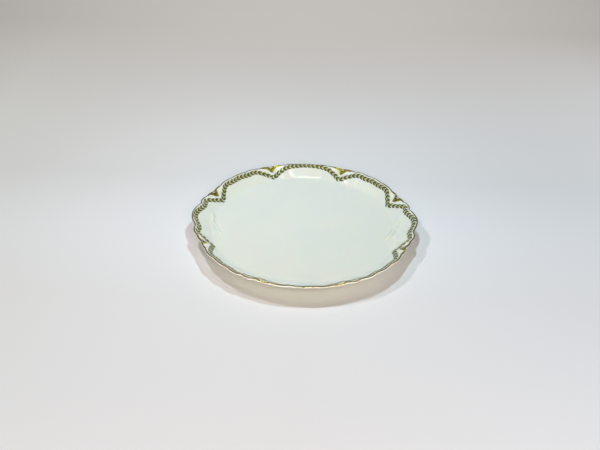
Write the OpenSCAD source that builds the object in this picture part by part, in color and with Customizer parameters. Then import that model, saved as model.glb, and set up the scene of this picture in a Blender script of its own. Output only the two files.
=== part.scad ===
// A shallow porcelain dessert plate. Its edge runs in eight lobes, and the two end lobes are wider and
// reach further out, so the plate can be held by them. Each lobe carries five small scallops. The eight
// notches between the lobes are filled with gold, a gold line runs round the lip, and a laurel garland
// follows the edge and dips towards the well at each notch.
// The plate stands on the origin, with +X along the line through its end lobes.

/* [Plate] */
// Length over the two wide end lobes
plate_length = 216; // [190:1:260]
// Width over the two side lobes
plate_width = 210; // [190:1:254]
// How far the end lobes lift above the mean height of the edge
edge_lift = 1.3; // [0:0.1:3]
// Thickness of the clay at the lip
lip_wall = 1.7; // [1.3:0.1:2.4]

/* [Well] */
// Diameter of the flat floor
floor_diameter = 168; // [130:1:172]
// Depth of the floor below the edge
well_depth = 11.6; // [7:0.2:16]
// Thickness of the clay under the floor
floor_wall = 3.4; // [2.4:0.1:5]

/* [Foot ring] */
// Height of the ring that the plate stands on
foot_height = 3; // [2:0.1:5]
// Width of the ring where it meets the plate
foot_width = 4; // [3:0.2:7]
// Distance of the ring inside the edge of the floor
foot_inset = 14; // [6:0.5:24]

/* [Gilding] */
// Thickness of the fired gold
gold_wall = 0.2; // [0.1:0.05:0.3]
// Reach of the gold tongue inwards from the edge at each notch
tongue_reach = 5.2; // [3.6:0.1:5.8]

/* [Garland] */
// White margin between the gold line and the leaves along a lobe
garland_margin = 0.15; // [0.1:0.05:0.8]
// How much further in the garland dips at a notch
garland_dip = 6.8; // [6:0.1:8]
// Spacing of the leaf pairs along the stem
leaf_pitch = 4.5; // [4.2:0.1:5]
// Width of one leaf
leaf_width = 1.5; // [1:0.1:1.6]
// Width of the stem
stem_width = 0.4; // [0.2:0.05:0.5]
// Thickness of the enamel at the middle of a leaf
enamel_wall = 0.3; // [0.2:0.05:0.4]

/* [Hidden] */
lobes = [1:8];

// Gap left between the glaze and the gold or enamel fired on it
seat_gap = 0.2;
// Gap left between the edge line and the gold in the notches
gold_gap = 0.1;
// Gap left between the stem and its leaves
leaf_gap = 0.15;
// Depth to which the foot ring is let into the underside
foot_overlap = 1.2;
// Width of the bevel on each side of the foot ring's base
foot_bevel = 0.7;

// Turns are angles in degrees from the long axis. The edge is the same in every quarter, so one quarter
// is described and the rest is folded onto it. A cusp is the sharp dip between two scallops.
cusp_turns = [10.5, 19.2, 25.1, 31.7, 41.8, 51.8, 61, 68.1, 75, 84.8];
// Reach of the edge at each cusp, as a share of the reach of a plain oval
cusp_shares = [0.9915, 0.9925, 0.9775, 0.9873, 0.998, 1, 0.997, 0.988, 0.9955, 0.994];
// Swell of each scallop beyond the line between its cusps, from the end scallop round to the side one
swell_shares = [0.0372, 0.0175, 0.009, 0.009, 0.011, 0.007, 0.012, 0.012, 0.011, 0.008, 0.005];
// The eight notches between the lobes are the deepest cusps
notch_turns = [25.1, 68.1];
// Height of the edge above its mean, as a share of the lift of the end lobes
wave_turns = [0, 25.1, 46.6, 68.1, 90];
wave_shares = [1, -0.42, 0.34, -0.38, -0.17];
// Middle and softness of the curve from the floor up into the flared side, as shares of the side's width
curve_place = 0.24;
curve_share = 0.09;
// Power with which the crease below each cusp fades inwards from the lip
crease_fade = 6;
// Half the stretch of edge over which the garland dips, and the same for the gold
dip_turn = 9.5;
gold_turn = 4.6;
// Largest turn between two sections of the plate
section_turn = 2.25;
// Angle between a leaf and the stem, and the share of its pitch that a leaf covers
leaf_turn = 20;
leaf_cover_share = 0.98;
// Where a leaf is measured along its length, and its width there as a share of the full width
leaf_place_shares = [0.3, 0.62];
leaf_width_shares = [0.6, 1];
// Sections of the stem for each pair of leaves
stem_steps = 2;

floor_r = floor_diameter/2;
floor_z = foot_height + floor_wall;
mean_edge_z = floor_z + well_depth;
lip_r = lip_wall/2;

// Small helpers
function last(list) = list[len(list) - 1];
function reversed(list) = [for (k = [len(list) - 1:-1:0]) list[k]];
function between(a, b, share) = a + (b - a)*share;
function polar(r, turn) = [r*cos(turn), r*sin(turn)];
function folded(turn) = let (half = ((turn % 180) + 180) % 180) min(half, 180 - half);
function bell(x) = abs(x) < 1 ? pow(1 - x*x, 2) : 0;
function in_three(p, z) = [p.x, p.y, z];

// Edge of the plate, seen from above
stops = concat([-cusp_turns[0]], cusp_turns, [180 - last(cusp_turns)]);
stop_shares = concat([cusp_shares[0]], cusp_shares, [last(cusp_shares)]);

function scallop(q) = len([for (c = cusp_turns) if (c <= q) c]);
// The cusps are crisp where sharp is 1 and smoothed over where it is 0
function reach_share(turn, sharp) =
    let (q = folded(turn), k = scallop(q), t = (q - stops[k])/(stops[k + 1] - stops[k]))
    let (swell = sin(180*t))
    between(stop_shares[k], stop_shares[k + 1], t) + swell_shares[k]*between(swell*swell, swell, sharp);

half_length = plate_length/2/reach_share(0, 1);
half_width = plate_width/2/reach_share(90, 1);

function oval(turn) = 1/norm([cos(turn)/half_length, sin(turn)/half_width]);
function reach(turn, sharp = 1) = oval(turn)*reach_share(turn, sharp);

// Height of the edge, eased from one named turn to the next
function wave_share(q) =
    let (k = min(len([for (w = wave_turns) if (w <= q) w]), len(wave_turns) - 1) - 1)
    let (t = (q - wave_turns[k])/(wave_turns[k + 1] - wave_turns[k]))
    between(wave_shares[k], wave_shares[k + 1], (1 - cos(180*t))/2);
function edge_z(turn) = mean_edge_z + edge_lift*wave_share(folded(turn));

// Glazed surface inside the plate: a flat floor that curves up into an even flare along a hyperbola
function curve_rise(t) = (t - curve_place + norm([t - curve_place, curve_share]))/2;
function curve_rate(t) = (1 + (t - curve_place)/norm([t - curve_place, curve_share]))/2;
full_rise = curve_rise(1) - curve_rise(0);
function rise_share(t) = (curve_rise(t) - curve_rise(0))/full_rise;
function flare_share(r, edge) = max(0, (r - floor_r)/(edge - floor_r));
function glaze_z(p) =
    let (turn = atan2(p.y, p.x), r = norm(p))
    let (sharp = min(1, pow(flare_share(r, reach(turn)), crease_fade)))
    between(floor_z, edge_z(turn), rise_share(flare_share(r, reach(turn, sharp))));

// Slope of the glaze at a share of the side's width, from the floor at 0 to the edge at 1
function flare_slope(edge, t) = curve_rate(t)/full_rise*well_depth/(edge - floor_r);
flare_turn = atan(flare_slope((half_length + half_width)/2, 1));

// Point over the glaze, lifted by a distance measured square to it
function on_glaze(p, lift) =
    let (edge = reach(atan2(p.y, p.x)), slope = flare_slope(edge, flare_share(norm(p), edge)))
    in_three(p, glaze_z(p) + lift*norm([1, slope]));

// Half-round lip, whose arc leaves the flare along its slope
lip_inset = lip_r*(1 + sin(flare_turn));
lip_turns = [90 + flare_turn, 95, 50, 5, -30, -90 + flare_turn];

function lip_centre(turn) =
    [reach(turn) - lip_r, glaze_z(polar(reach(turn) - lip_inset, turn)) - lip_r*cos(flare_turn)];

// One section of the plate is a list of [distance from the axis, height]
top_shares = [0, 0.13, 0.22, 0.31, 0.44, 0.62, 0.82];
under_shares = [0.8, 0.5, 0.2, 0];
lip_drop = lip_wall/cos(flare_turn);

function under_point(turn, t) =
    let (r = between(floor_r, reach(turn) - lip_r, t))
    [r, glaze_z(polar(r, turn)) - between(floor_wall, lip_drop, t)];
function plate_section(turn) =
    let (flare_r = reach(turn) - lip_inset, centre = lip_centre(turn))
    concat(
        [for (t = top_shares) let (r = between(floor_r, flare_r, t)) [r, glaze_z(polar(r, turn))]],
        [for (a = lip_turns) centre + polar(lip_r, a)],
        [for (t = under_shares) under_point(turn, t)]
    );
function placed(section, turn) = [for (p = section) in_three(polar(p.x, turn), p.y)];

// Turns of the sections, spaced evenly along each scallop so that every cusp is kept
quarter_turns = [for (k = [0:len(stops) - 2])
    let (steps = ceil((stops[k + 1] - stops[k])/section_turn))
    for (j = [0:steps - 1]) between(stops[k], stops[k + 1], j/steps)];
half_turns = concat(
    [for (a = quarter_turns) if (a >= 0 && a <= 90) a],
    reversed([for (a = quarter_turns) if (a > 0 && a < 90) 180 - a])
);
section_turns = concat(half_turns, [for (a = half_turns) a + 180]);

// Faces of a grid whose rows each hold n points: the rows close on each other, and so does each row
function ring_faces(rows, n) = [for (i = [0:rows - 1], j = [0:n - 1])
    let (here = i*n, next = ((i + 1) % rows)*n, k = (j + 1) % n)
    each [[here + j, next + k, here + k], [here + j, next + j, next + k]]];
// The same for a skin that ends at its first and last row, with lids over both ends
function strip_faces(rows, n) = concat(
    [for (i = [0:rows - 2], j = [0:n - 1])
        let (here = i*n, next = here + n, k = (j + 1) % n)
        each [[here + j, next + k, here + k], [here + j, next + j, next + k]]],
    [for (j = [1:n - 2]) [0, j, j + 1]],
    [for (j = [1:n - 2]) let (a = (rows - 1)*n) [a, a + j + 1, a + j]]
);
function joined(lists) = [for (list = lists) each list];

// Porcelain body
module plate_body() {
    color("#eef1ea") union() {
        dish();
        foot_ring();
    }
}

module dish() {
    sections = [for (a = section_turns) placed(plate_section(a), a)];
    n = len(sections[0]);
    rows = len(sections);
    floor_centre = rows*n;
    skin = [for (i = [0:rows - 1], j = [0:n - 2])
        let (a = i*n + j, c = ((i + 1) % rows)*n + j)
        each [[a, c + 1, a + 1], [a, c, c + 1]]];
    floor_top = [for (i = [0:rows - 1]) [floor_centre, ((i + 1) % rows)*n, i*n]];
    floor_under = [for (i = [0:rows - 1])
        [floor_centre + 1, i*n + n - 1, ((i + 1) % rows)*n + n - 1]];
    polyhedron(
        points = concat(joined(sections), [[0, 0, floor_z], [0, 0, foot_height]]),
        faces = concat(skin, floor_top, floor_under),
        convexity = 4
    );
}

module foot_ring() {
    outer = floor_r - foot_inset;
    inner = outer - foot_width;
    rotate_extrude()
        polygon([
            [inner, foot_height + foot_overlap],
            [inner, foot_bevel],
            [inner + foot_bevel, 0],
            [outer - foot_bevel, 0],
            [outer, foot_bevel],
            [outer, foot_height + foot_overlap]
        ]);
}

// Gold line round the crest of the lip
edge_turns = [lip_turns[1], lip_turns[2]];
edge_line_inset = lip_r + (lip_r + seat_gap + gold_wall)*sin(edge_turns[0] - 90);

function edge_line_section(turn) =
    let (centre = lip_centre(turn), out = polar(1, (edge_turns[0] + edge_turns[1])/2))
    let (a = centre + polar(lip_r, edge_turns[0]), b = centre + polar(lip_r, edge_turns[1]))
    let (low = out*seat_gap, high = out*(seat_gap + gold_wall))
    [a + low, a + high, b + high, b + low];

module edge_gilding() {
    sections = [for (a = section_turns) placed(edge_line_section(a), a)];
    color("#a9741f")
        polyhedron(joined(sections), ring_faces(len(sections), len(sections[0])), convexity = 6);
}

// Gold in a notch: a tongue that narrows inwards from the two scallops beside the notch
notches = concat(
    [for (a = notch_turns) a],
    [for (a = reversed(notch_turns)) 180 - a],
    [for (a = notch_turns) 180 + a],
    [for (a = reversed(notch_turns)) 360 - a]
);
gold_places = [-1, -0.75, -0.5, -0.25, 0, 0.25, 0.5, 0.75, 1];
gold_rows = [0, 0.5, 1];
gold_outer = edge_line_inset + gold_gap;
gold_tip = gold_outer + 2*gold_wall;

function tongue_inset(x) = between(gold_tip, tongue_reach, pow(1 - abs(x), 2));
function gold_point(notch, x, row, lift) =
    let (turn = notch + gold_turn*x)
    on_glaze(polar(reach(turn) - between(gold_outer, tongue_inset(x), row), turn), lift);

module notch_gilding(k) {
    sections = [for (x = gold_places) concat(
        [for (row = gold_rows) gold_point(notches[k - 1], x, row, seat_gap)],
        reversed([for (row = gold_rows) gold_point(notches[k - 1], x, row, seat_gap + gold_wall)])
    )];
    color("#b8802a")
        polyhedron(joined(sections), strip_faces(len(sections), len(sections[0])), convexity = 4);
}

// Path of the garland's stem, seen from above. The leaves stand off it on both sides, and along a lobe
// the outer ones leave a margin to the gold line.
leaf_rise = tan(leaf_turn);
leaf_half = leaf_width/2/cos(leaf_turn);
leaf_root = stem_width/2 + leaf_gap;
garland_half = leaf_root + leaf_pitch*leaf_place_shares[1]*leaf_rise + leaf_half;
garland_inset = edge_line_inset + garland_margin + garland_half;

function dip_share(q) = bell((q - notch_turns[0])/dip_turn) + bell((q - notch_turns[1])/dip_turn);
function garland_path(turn) =
    polar(reach(turn, 0) - garland_inset - garland_dip*dip_share(folded(turn)), turn);

// Each lobe's garland runs clockwise from the notch at its far end, so its leaves point that way too
function lobe_start(k) = notches[k - 1];
function lobe_end(k) = k == 1 ? notches[7] - 360 : notches[k - 2];
path_steps = 60;

// Table of [length along the garland, turn] for one lobe
function lobe_lengths(k) =
    let (turns = [for (i = [0:path_steps]) between(lobe_start(k), lobe_end(k), i/path_steps)])
    let (points = [for (a = turns) garland_path(a)])
    let (steps = [for (i = [1:path_steps]) norm(points[i] - points[i - 1])])
    [for (i = 0, s = 0; i <= path_steps; s = s + (i < path_steps ? steps[i] : 0), i = i + 1)
        [s, turns[i]]];

// Unit vector along the garland, clockwise
path_nudge = 0.2;
function path_heading(turn) =
    let (step = garland_path(turn - path_nudge) - garland_path(turn + path_nudge))
    step/norm(step);
function beside(heading) = [-heading.y, heading.x];
function lobe_pairs(table) = round(last(table)[0]/leaf_pitch);

// Point a given length along the garland and a given distance to the left of it
function by_garland(table, length, side) =
    let (turn = lookup(length, table))
    garland_path(turn) + beside(path_heading(turn))*side;

module garland_stem(k) {
    table = lobe_lengths(k);
    half = stem_width/2;
    steps = stem_steps*lobe_pairs(table);
    end = last(table)[0] - leaf_gap;
    low = seat_gap;
    high = seat_gap + enamel_wall/2;
    sections = [for (i = [0:steps])
        let (s = between(leaf_gap, end, i/steps))
        let (left = by_garland(table, s, half), right = by_garland(table, s, -half))
        [on_glaze(left, high), on_glaze(right, high), on_glaze(right, low), on_glaze(left, low)]];
    color("#c3c98a")
        polyhedron(joined(sections), strip_faces(len(sections), len(sections[0])), convexity = 6);
}

// One leaf lies on the glaze beside the stem and bends with it. Its rim is on the lower surface and its
// midrib stands proud. The side is 1 for a leaf on the left of the stem and -1 for one on its right.
function leaf_points(table, start, length, side) =
    let (spots = [for (t = leaf_place_shares) start + length*t])
    let (mids = [for (t = leaf_place_shares) leaf_root + length*t*leaf_rise])
    let (halves = [for (t = leaf_width_shares) leaf_half*t])
    let (outline = [
        [start, leaf_root],
        [spots[0], mids[0] + halves[0]],
        [spots[1], mids[1] + halves[1]],
        [start + length, leaf_root + length*leaf_rise],
        [spots[1], mids[1] - halves[1]],
        [spots[0], mids[0] - halves[0]]
    ])
    concat(
        [for (p = outline) on_glaze(by_garland(table, p.x, p.y*side), seat_gap)],
        [for (i = [0, 1]) on_glaze(by_garland(table, spots[i], mids[i]*side), seat_gap + enamel_wall)]
    );
leaf_faces = [
    [0, 5, 1], [1, 4, 2], [1, 5, 4], [2, 4, 3],
    [0, 1, 6], [1, 7, 6], [1, 2, 7], [2, 3, 7], [3, 4, 7], [4, 6, 7], [4, 5, 6], [5, 0, 6]
];

module garland_leaves(k) {
    table = lobe_lengths(k);
    pairs = lobe_pairs(table);
    pitch = last(table)[0]/pairs;
    length = pitch*leaf_cover_share;
    starts = [for (i = [0:pairs - 1]) i*pitch + (pitch - length)/2];
    left = [for (s = starts) leaf_points(table, s, length, 1)];
    right = [for (s = starts) leaf_points(table, s, length, -1)];
    n = len(left[0]);
    left_faces = [for (i = [0:pairs - 1], f = leaf_faces) [for (v = f) i*n + v]];
    right_faces = [for (i = [0:pairs - 1], f = leaf_faces) [for (v = reversed(f)) (pairs + i)*n + v]];
    color("#66762b")
        polyhedron(joined(concat(left, right)), concat(left_faces, right_faces), convexity = 6);
}

plate_body();
edge_gilding();
for (k = lobes) notch_gilding(k);
for (k = lobes) garland_stem(k);
for (k = lobes) garland_leaves(k);
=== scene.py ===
"""Visual model of a scalloped porcelain dessert plate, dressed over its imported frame.

Sizes are in millimetres and turns in degrees from the plate's long axis, until a mesh is made in metres.
"""
import logging
import math
from dataclasses import dataclass, field
from enum import Enum

import bpy
import numpy as np
from mathutils import Matrix, Vector


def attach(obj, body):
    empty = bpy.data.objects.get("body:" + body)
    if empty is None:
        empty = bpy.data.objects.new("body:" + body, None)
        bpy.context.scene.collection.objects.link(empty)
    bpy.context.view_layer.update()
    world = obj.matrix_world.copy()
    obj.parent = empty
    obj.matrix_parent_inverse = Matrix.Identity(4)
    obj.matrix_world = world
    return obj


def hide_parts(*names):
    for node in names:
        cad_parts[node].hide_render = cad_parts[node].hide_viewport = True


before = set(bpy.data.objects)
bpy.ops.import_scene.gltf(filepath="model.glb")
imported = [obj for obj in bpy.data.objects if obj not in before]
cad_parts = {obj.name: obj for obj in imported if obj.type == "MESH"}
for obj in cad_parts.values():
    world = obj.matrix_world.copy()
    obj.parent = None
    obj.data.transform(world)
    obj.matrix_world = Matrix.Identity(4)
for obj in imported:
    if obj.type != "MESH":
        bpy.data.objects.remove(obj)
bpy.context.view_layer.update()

LOG = logging.getLogger("dessert_plate")
Array = np.ndarray
Color = tuple[float, float, float]
Object = bpy.types.Object
Material = bpy.types.Material
Socket = bpy.types.NodeSocket
MM = 0.001
SEED = 11


class Row(Enum):
    """The two rows of leaves, by the side of the stem that they grow on, seen along the garland."""

    OUTER = 1.0
    INNER = -1.0


class PlateEnd(Enum):
    """The two wide ends of the plate, by the sign of X."""

    RIGHT = 1.0
    LEFT = -1.0


# Numbers and curves


def between(a: Array | float, b: Array | float, share: Array | float) -> Array | float:
    """Value a share of the way from a to b."""
    return a + (b - a) * share


def eased(low: float, high: float, x: Array) -> Array:
    """Share that rises from 0 at low to 1 at high along a cubic S-curve."""
    t = np.clip((x - low) / (high - low), 0.0, 1.0)
    return t * t * (3.0 - 2.0 * t)


def bell(x: Array) -> Array:
    """Bell that is 1 at 0 and falls to 0 at 1 and -1: (1 - x^2) squared."""
    return np.where(np.abs(x) < 1.0, (1.0 - x * x) ** 2, 0.0)


def ripple(turn: Array, waves: tuple[int, ...], seed: int) -> Array:
    """Closed waviness from -1 to 1: the mean of sines that repeat so many times round the plate."""
    phases = np.random.default_rng(seed).uniform(0.0, 2.0 * np.pi, len(waves))
    return sum(np.sin(np.radians(turn) * w + p) for w, p in zip(waves, phases)) / len(waves)


def smooth_path(points: Array, count: int) -> Array:
    """Catmull-Rom curve through the points.

    Args:
        points: array (n, 2) of the points to pass through.
        count: how many samples to take along the curve.

    Returns:
        Array (count, 2). Each sample is the cubic of the four nearest points at its share of the way.
    """
    padded = np.vstack([2 * points[0] - points[1], points, 2 * points[-1] - points[-2]])
    t = np.linspace(0.0, len(points) - 1, count)
    k = np.minimum(t.astype(int), len(points) - 2)
    u = (t - k)[:, None]
    a, b, c, d = (padded[k + i] for i in range(4))
    return 0.5 * (2 * b + (c - a) * u + (2 * a - 5 * b + 4 * c - d) * u**2 + (3 * b - a - 3 * c + d) * u**3)


def polar(r: Array | float, turn: Array | float) -> tuple[Array, Array]:
    """X and Y of places given by their distances from the axis and their turns in degrees."""
    a = np.radians(turn)
    return r * np.cos(a), r * np.sin(a)


# Meshes


def grid_faces(rows: int, columns: int, ring_rows: bool = False, ring_columns: bool = False) -> Array:
    """Quads of a grid whose points are numbered row by row.

    Args:
        rows: number of rows.
        columns: number of points in a row.
        ring_rows: whether the last row joins the first.
        ring_columns: whether the last column joins the first.

    Returns:
        Array (n, 4). Seen with rows going outwards and columns anticlockwise, each quad faces the viewer.
    """
    starts = np.arange(rows - (not ring_rows)), np.arange(columns - (not ring_columns))
    i, j = np.meshgrid(*starts, indexing="ij")
    below, right = (i + 1) % rows, (j + 1) % columns
    corners = [i * columns + j, below * columns + j, below * columns + right, i * columns + right]
    return np.stack([c.ravel() for c in corners], axis=1)


def fan_faces(pole: int, ring: Array, forward: bool) -> Array:
    """Triangles that close a ring of points on a pole, turned round where forward is false."""
    after = np.roll(ring, -1)
    sides = (ring, after) if forward else (after, ring)
    return np.stack([np.full(len(ring), pole), *sides], axis=1)


def film_faces(rows: int, columns: int) -> list[Array]:
    """Faces of a thin closed film: its upper grid, its lower grid and the wall round the border.

    Args:
        rows: rows of each grid.
        columns: columns of each grid. The lower grid's points are numbered after the upper one's.

    Returns:
        A list of quad arrays, all facing outwards.
    """
    count = rows * columns
    upper = grid_faces(rows, columns)
    number = np.arange(count).reshape(rows, columns)
    border = np.concatenate([number[0, :-1], number[:-1, -1], number[-1, :0:-1], number[:0:-1, 0]])
    after = np.roll(border, -1)
    wall = np.stack([border, after, after + count, border + count], axis=1)
    return [upper, upper[:, ::-1] + count, wall]


def new_piece(name: str, points: Array, faces: list[Array], material: Material) -> Object:
    """Makes a smooth mesh object from arrays.

    Args:
        name: the object's name.
        points: array (n, 3) in millimetres.
        faces: arrays of quads or triangles.
        material: the piece's finish.

    Returns:
        The object, linked to the scene, at the origin.
    """
    mesh = bpy.data.meshes.new(name)
    mesh.from_pydata((points * MM).tolist(), [], [f for group in faces for f in group.tolist()])
    mesh.polygons.foreach_set("use_smooth", np.ones(len(mesh.polygons), bool))
    mesh.materials.append(material)
    mesh.update()
    piece = bpy.data.objects.new(name, mesh)
    bpy.context.scene.collection.objects.link(piece)
    return piece


def new_film(name: str, top: Array, low: Array, material: Material) -> Object:
    """Makes a closed film from its upper and lower points, as grids whose rows go inwards."""
    points = np.concatenate([grid[::-1].reshape(-1, 3) for grid in (top, low)])
    return new_piece(name, points, film_faces(*top.shape[:2]), material)


def write_values(piece: Object, **values: Array) -> None:
    """Stores numbers on a piece as attributes that its finish reads.

    Args:
        piece: the piece.
        values: one number for each point, under each attribute's name.
    """
    for name, numbers in values.items():
        layer = piece.data.attributes.new(name, "FLOAT", "POINT")
        layer.data.foreach_set("value", np.ascontiguousarray(numbers, np.float32).ravel())


def seat(piece: Object, node: str) -> None:
    """Makes a piece stand for a node of the frame.

    Args:
        piece: the visual piece.
        node: the frame's node that it replaces.
    """
    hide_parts(node)
    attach(piece, "root")
    LOG.info("%s stands for %s: %d faces", piece.name, node, len(piece.data.polygons))


# Form of the plate


@dataclass(frozen=True)
class Stroke:
    """One raised or sunk stroke of the relief pressed into the plate's ends.

    Its path is given by turns from the end's axis and by shares of the edge's reach there.
    """

    turns: tuple[float, ...]
    reach_shares: tuple[float, ...]
    height: float
    half_width: float


@dataclass(frozen=True)
class PlateForm:
    """Sizes of the porcelain and the surface that they describe."""

    length: float = 216.0
    width: float = 210.0
    edge_lift: float = 1.3
    lip_wall: float = 1.7
    floor_r: float = 84.0
    well_depth: float = 11.6
    floor_wall: float = 3.4
    foot_height: float = 3.0
    foot_width: float = 4.0
    foot_inset: float = 14.0
    curve_place: float = 0.24
    curve_share: float = 0.09
    crease_fade: float = 6.0
    cusp_turns: tuple[float, ...] = (10.5, 19.2, 25.1, 31.7, 41.8, 51.8, 61.0, 68.1, 75.0, 84.8)
    cusp_shares: tuple[float, ...] = (
        0.9915, 0.9925, 0.9775, 0.9873, 0.998, 1.0, 0.997, 0.988, 0.9955, 0.994
    )
    swell_shares: tuple[float, ...] = (
        0.0372, 0.0175, 0.009, 0.009, 0.011, 0.007, 0.012, 0.012, 0.011, 0.008, 0.005
    )
    wave_turns: tuple[float, ...] = (0.0, 25.1, 46.6, 68.1, 90.0)
    wave_shares: tuple[float, ...] = (1.0, -0.42, 0.34, -0.38, -0.17)
    notch_turns: tuple[float, ...] = (25.1, 68.1)
    relief_from: float = 70.0
    relief_end: float = 60.0
    relief_side: float = 45.0
    stroke_samples: int = 72
    slope_step: float = 0.05
    strokes: tuple[Stroke, ...] = (
        Stroke((-13.0, -8.5, -3.0, 1.0, 6.0, 9.0), (0.751, 0.790, 0.797, 0.823, 0.852, 0.882), 2.2, 1.6),
        Stroke((-13.5, -6.0, 0.5, 4.0, 8.5), (0.739, 0.773, 0.787, 0.812, 0.834), -1.3, 1.3),
        Stroke((-10.5, -6.0, -2.5), (0.857, 0.838, 0.818), -0.45, 1.0),
        Stroke((-12.5, -8.0, -3.5), (0.882, 0.866, 0.842), 0.45, 1.0),
        Stroke((8.0, 11.0, 14.5), (0.857, 0.869, 0.861), -0.45, 1.1),
    )

    @property
    def floor_z(self) -> float:
        """Height of the floor's glaze."""
        return self.foot_height + self.floor_wall

    @property
    def lip_r(self) -> float:
        """Radius of the half-round lip."""
        return self.lip_wall / 2.0

    @property
    def half_axes(self) -> Array:
        """Half length and half width of the plain oval that the edge's shares refer to."""
        return np.array([self.length, self.width]) / 2 / self.reach_share(np.array([0.0, 90.0]))

    def folded(self, turn: Array) -> Array:
        """Turn folded onto the first quarter, since the edge is the same in all four."""
        half = np.mod(turn, 180.0)
        return np.minimum(half, 180.0 - half)

    def reach_share(self, turn: Array, sharp: Array | float = 1.0) -> Array:
        """Reach of the edge as a share of a plain oval.

        Between two cusps it is the straight blend of their shares plus the scallop's swell times a half
        sine. As sharp goes to 0, the square of that half sine replaces it.

        Args:
            turn: turns in degrees.
            sharp: 1 for crisp cusps, 0 for smooth ones.

        Returns:
            The share at each turn.
        """
        cusps = np.array(self.cusp_turns)
        stops = np.concatenate([[-cusps[0]], cusps, [180.0 - cusps[-1]]])
        shares = np.array((self.cusp_shares[0], *self.cusp_shares, self.cusp_shares[-1]))
        q = self.folded(turn)
        k = np.searchsorted(cusps, q, side="right")
        t = (q - stops[k]) / (stops[k + 1] - stops[k])
        swell = np.sin(np.pi * t)
        swell = np.array(self.swell_shares)[k] * between(swell**2, swell, sharp)
        return between(shares[k], shares[k + 1], t) + swell

    def reach(self, turn: Array, sharp: Array | float = 1.0) -> Array:
        """Distance of the edge from the axis: the oval's reach times the share of it.

        Args:
            turn: turns in degrees.
            sharp: 1 for crisp cusps, 0 for smooth ones.

        Returns:
            The distance at each turn.
        """
        half_length, half_width = self.half_axes
        a = np.radians(turn)
        return self.reach_share(turn, sharp) / np.hypot(np.cos(a) / half_length, np.sin(a) / half_width)

    def edge_z(self, turn: Array) -> Array:
        """Height of the edge: its mean plus the lift times shares eased by half cosines.

        Args:
            turn: turns in degrees.

        Returns:
            The height at each turn.
        """
        stops, shares = np.array(self.wave_turns), np.array(self.wave_shares)
        q = self.folded(turn)
        k = np.clip(np.searchsorted(stops, q, side="right") - 1, 0, len(stops) - 2)
        t = (q - stops[k]) / (stops[k + 1] - stops[k])
        share = between(shares[k], shares[k + 1], (1.0 - np.cos(np.pi * t)) / 2.0)
        return self.floor_z + self.well_depth + self.edge_lift * share

    def curve_rise(self, t: Array | float) -> Array | float:
        """Rise of the side at a share t of its width: the mean of t - place and a hyperbola's branch."""
        return (t - self.curve_place + np.hypot(t - self.curve_place, self.curve_share)) / 2.0

    @property
    def full_rise(self) -> float:
        """Rise of the curve over the side's whole width."""
        return float(self.curve_rise(1.0) - self.curve_rise(0.0))

    def glaze_z(self, r: Array, turn: Array) -> Array:
        """Height of the glaze: flat on the floor, then the curve's share of the way to the edge's height.

        Args:
            r: distances from the axis.
            turn: turns in degrees.

        Returns:
            Heights, without the relief at the ends.
        """
        sharp_edge = self.reach(turn)
        way = np.maximum(0.0, (r - self.floor_r) / (sharp_edge - self.floor_r))
        edge = self.reach(turn, np.minimum(1.0, way**self.crease_fade))
        t = np.maximum(0.0, (r - self.floor_r) / (edge - self.floor_r))
        rise = (self.curve_rise(t) - self.curve_rise(0.0)) / self.full_rise
        return between(self.floor_z, self.edge_z(turn), rise)

    @property
    def flare_turn(self) -> float:
        """Mean steepness of the flare at the edge, in degrees."""
        rest = 1.0 - self.curve_place
        rate = (1.0 + rest / math.hypot(rest, self.curve_share)) / 2.0 / self.full_rise
        mean = float(self.half_axes.mean())
        return math.degrees(math.atan(rate * self.well_depth / (mean - self.floor_r)))

    @property
    def lip_inset(self) -> float:
        """Distance inside the edge at which the lip's arc leaves the flare."""
        return self.lip_r * (1.0 + math.sin(math.radians(self.flare_turn)))

    def lip_centre(self, turn: Array) -> tuple[Array, Array]:
        """Centre of the lip's arc at each turn, as distances from the axis and heights."""
        edge = self.reach(turn)
        z = self.glaze_z(edge - self.lip_inset, turn) - self.lip_r * math.cos(math.radians(self.flare_turn))
        return edge - self.lip_r, z

    def relief(self, x: Array, y: Array) -> Array:
        """Height that the pressed relief adds to the glaze.

        Each stroke adds its height times a bell of the distance to its path, e^-(d / half width)^2, and
        fades out towards both ends of the path by the square root of a half sine.

        Args:
            x: places along the long axis.
            y: places across it.

        Returns:
            Heights to add.
        """
        total = np.zeros(np.shape(x))
        near = (np.hypot(x, y) > self.relief_from) & (np.abs(y) < self.relief_side)
        for end in PlateEnd:
            here = near & (x * end.value > self.relief_end)
            px, py = x[here] * end.value, y[here]
            for stroke in self.strokes:
                turns = np.array(stroke.turns)
                r = np.array(stroke.reach_shares) * self.reach(turns, 0.0)
                path = smooth_path(np.stack(polar(r, turns), axis=1), self.stroke_samples)
                gap = np.hypot(px[:, None] - path[:, 0], py[:, None] - path[:, 1])
                fade = np.sqrt(np.sin(np.pi * np.linspace(0.02, 0.98, len(path))))
                lift = (fade * np.exp(-((gap / stroke.half_width) ** 2))).max(axis=1) if len(px) else 0.0
                total[here] += stroke.height * lift
        return total

    def skin_z(self, x: Array, y: Array) -> Array:
        """Height of the glaze seen from above, with the relief and the upper half of the lip.

        Args:
            x: places along the long axis.
            y: places across it.

        Returns:
            Heights. Beyond the lip's inset they follow its circle.
        """
        turn, r = np.degrees(np.arctan2(y, x)), np.hypot(x, y)
        inset = np.maximum(self.reach(turn) - r, 0.02)
        _, centre = self.lip_centre(turn)
        arc = centre + np.sqrt(np.maximum(self.lip_r**2 - (self.lip_r - inset) ** 2, 0.0))
        return np.where(inset < self.lip_inset, arc, self.glaze_z(r, turn)) + self.relief(x, y)

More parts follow.
